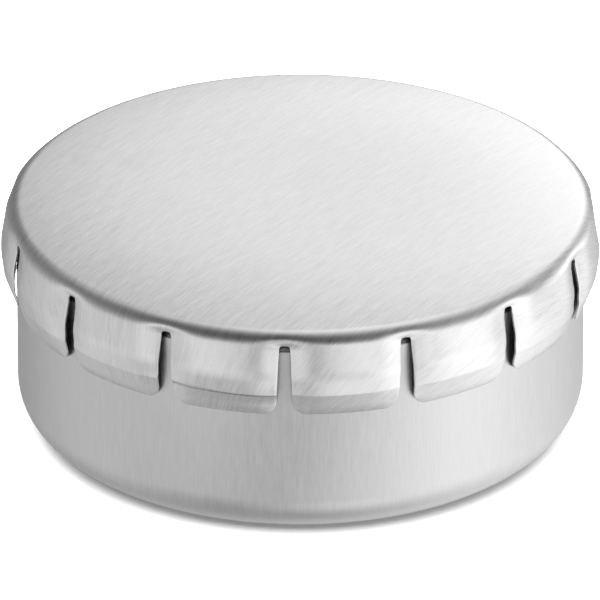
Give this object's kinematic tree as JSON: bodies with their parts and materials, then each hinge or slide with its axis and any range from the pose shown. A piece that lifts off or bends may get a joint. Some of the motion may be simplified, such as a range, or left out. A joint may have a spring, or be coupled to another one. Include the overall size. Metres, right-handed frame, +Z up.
{
  "type": "candle tin",
  "caption": "Round tinplate candle tin: a drawn cup with a rolled rim and a press-to-open lid whose crowned panel snaps down to splay the spring tabs around its skirt.",
  "frame": {"origin": "on the tin's axis, at the underside of the foot ring", "axes": "+Z up along the tin's axis through the lid; one slot of the lid's skirt faces -Y"},
  "size_m": [0.08, 0.08, 0.0323],
  "materials": {
    "cup_tinplate": "satin, drawn vertical grain",
    "lid_tinplate": "satin, rolled grain in one direction"
  },
  "bodies": {
    "cup": {"base_cup": "cup_tinplate"},
    "lid": {"lid_shoulder": "lid_tinplate"},
    "snap_panel": {"lid_dome": "lid_tinplate"},
    "tab_01": {"tab_01": "lid_tinplate"},
    "tab_02": {"tab_02": "lid_tinplate"},
    "tab_03": {"tab_03": "lid_tinplate"},
    "tab_04": {"tab_04": "lid_tinplate"},
    "tab_05": {"tab_05": "lid_tinplate"},
    "tab_06": {"tab_06": "lid_tinplate"},
    "tab_07": {"tab_07": "lid_tinplate"},
    "tab_08": {"tab_08": "lid_tinplate"},
    "tab_09": {"tab_09": "lid_tinplate"},
    "tab_10": {"tab_10": "lid_tinplate"},
    "tab_11": {"tab_11": "lid_tinplate"},
    "tab_12": {"tab_12": "lid_tinplate"},
    "tab_13": {"tab_13": "lid_tinplate"},
    "tab_14": {"tab_14": "lid_tinplate"},
    "tab_15": {"tab_15": "lid_tinplate"}
  },
  "joints": [
    {"name": "lid_lift", "type": "slide", "parent": "cup", "child": "lid", "axis": [0, 0, 1], "range_m": [0, 0.04]},
    {"name": "panel_press", "type": "slide", "parent": "lid", "child": "snap_panel", "axis": [0, 0, -1], "range_m": [0, 0.0022]},
    {"name": "tab_01_flex", "type": "hinge", "parent": "lid", "child": "tab_01", "pos_m": [0.00821, -0.03861, 0.0285], "axis": [-0.9781, -0.2079, 0], "range_deg": [0, 4]},
    {"name": "tab_02_flex", "type": "hinge", "parent": "lid", "child": "tab_02", "pos_m": [0.0232, -0.03193, 0.0285], "axis": [-0.809, -0.5878, 0], "range_deg": [0, 4]},
    {"name": "tab_03_flex", "type": "hinge", "parent": "lid", "child": "tab_03", "pos_m": [0.03418, -0.01973, 0.0285], "axis": [-0.5, -0.866, 0], "range_deg": [0, 4]},
    {"name": "tab_04_flex", "type": "hinge", "parent": "lid", "child": "tab_04", "pos_m": [0.03925, -0.00413, 0.0285], "axis": [-0.1045, -0.9945, 0], "range_deg": [0, 4]},
    {"name": "tab_05_flex", "type": "hinge", "parent": "lid", "child": "tab_05", "pos_m": [0.03754, 0.0122, 0.0285], "axis": [0.309, -0.9511, 0], "range_deg": [0, 4]},
    {"name": "tab_06_flex", "type": "hinge", "parent": "lid", "child": "tab_06", "pos_m": [0.02933, 0.02641, 0.0285], "axis": [0.6691, -0.7431, 0], "range_deg": [0, 4]},
    {"name": "tab_07_flex", "type": "hinge", "parent": "lid", "child": "tab_07", "pos_m": [0.01605, 0.03606, 0.0285], "axis": [0.9135, -0.4067, 0], "range_deg": [0, 4]},
    {"name": "tab_08_flex", "type": "hinge", "parent": "lid", "child": "tab_08", "pos_m": [0, 0.03947, 0.0285], "axis": [1, 0, 0], "range_deg": [0, 4]},
    {"name": "tab_09_flex", "type": "hinge", "parent": "lid", "child": "tab_09", "pos_m": [-0.01605, 0.03606, 0.0285], "axis": [0.9135, 0.4067, 0], "range_deg": [0, 4]},
    {"name": "tab_10_flex", "type": "hinge", "parent": "lid", "child": "tab_10", "pos_m": [-0.02933, 0.02641, 0.0285], "axis": [0.6691, 0.7431, 0], "range_deg": [0, 4]},
    {"name": "tab_11_flex", "type": "hinge", "parent": "lid", "child": "tab_11", "pos_m": [-0.03754, 0.0122, 0.0285], "axis": [0.309, 0.9511, 0], "range_deg": [0, 4]},
    {"name": "tab_12_flex", "type": "hinge", "parent": "lid", "child": "tab_12", "pos_m": [-0.03925, -0.00413, 0.0285], "axis": [-0.1045, 0.9945, 0], "range_deg": [0, 4]},
    {"name": "tab_13_flex", "type": "hinge", "parent": "lid", "child": "tab_13", "pos_m": [-0.03418, -0.01973, 0.0285], "axis": [-0.5, 0.866, 0], "range_deg": [0, 4]},
    {"name": "tab_14_flex", "type": "hinge", "parent": "lid", "child": "tab_14", "pos_m": [-0.0232, -0.03193, 0.0285], "axis": [-0.809, 0.5878, 0], "range_deg": [0, 4]},
    {"name": "tab_15_flex", "type": "hinge", "parent": "lid", "child": "tab_15", "pos_m": [-0.00821, -0.03861, 0.0285], "axis": [-0.9781, 0.2079, 0], "range_deg": [0, 4]}
  ],
  "couplings": [
    {"joint": "tab_01_flex", "follows": "panel_press", "rad_per_m": 31.7},
    {"joint": "tab_02_flex", "follows": "panel_press", "rad_per_m": 31.7},
    {"joint": "tab_03_flex", "follows": "panel_press", "rad_per_m": 31.7},
    {"joint": "tab_04_flex", "follows": "panel_press", "rad_per_m": 31.7},
    {"joint": "tab_05_flex", "follows": "panel_press", "rad_per_m": 31.7},
    {"joint": "tab_06_flex", "follows": "panel_press", "rad_per_m": 31.7},
    {"joint": "tab_07_flex", "follows": "panel_press", "rad_per_m": 31.7},
    {"joint": "tab_08_flex", "follows": "panel_press", "rad_per_m": 31.7},
    {"joint": "tab_09_flex", "follows": "panel_press", "rad_per_m": 31.7},
    {"joint": "tab_10_flex", "follows": "panel_press", "rad_per_m": 31.7},
    {"joint": "tab_11_flex", "follows": "panel_press", "rad_per_m": 31.7},
    {"joint": "tab_12_flex", "follows": "panel_press", "rad_per_m": 31.7},
    {"joint": "tab_13_flex", "follows": "panel_press", "rad_per_m": 31.7},
    {"joint": "tab_14_flex", "follows": "panel_press", "rad_per_m": 31.7},
    {"joint": "tab_15_flex", "follows": "panel_press", "rad_per_m": 31.7}
  ]
}
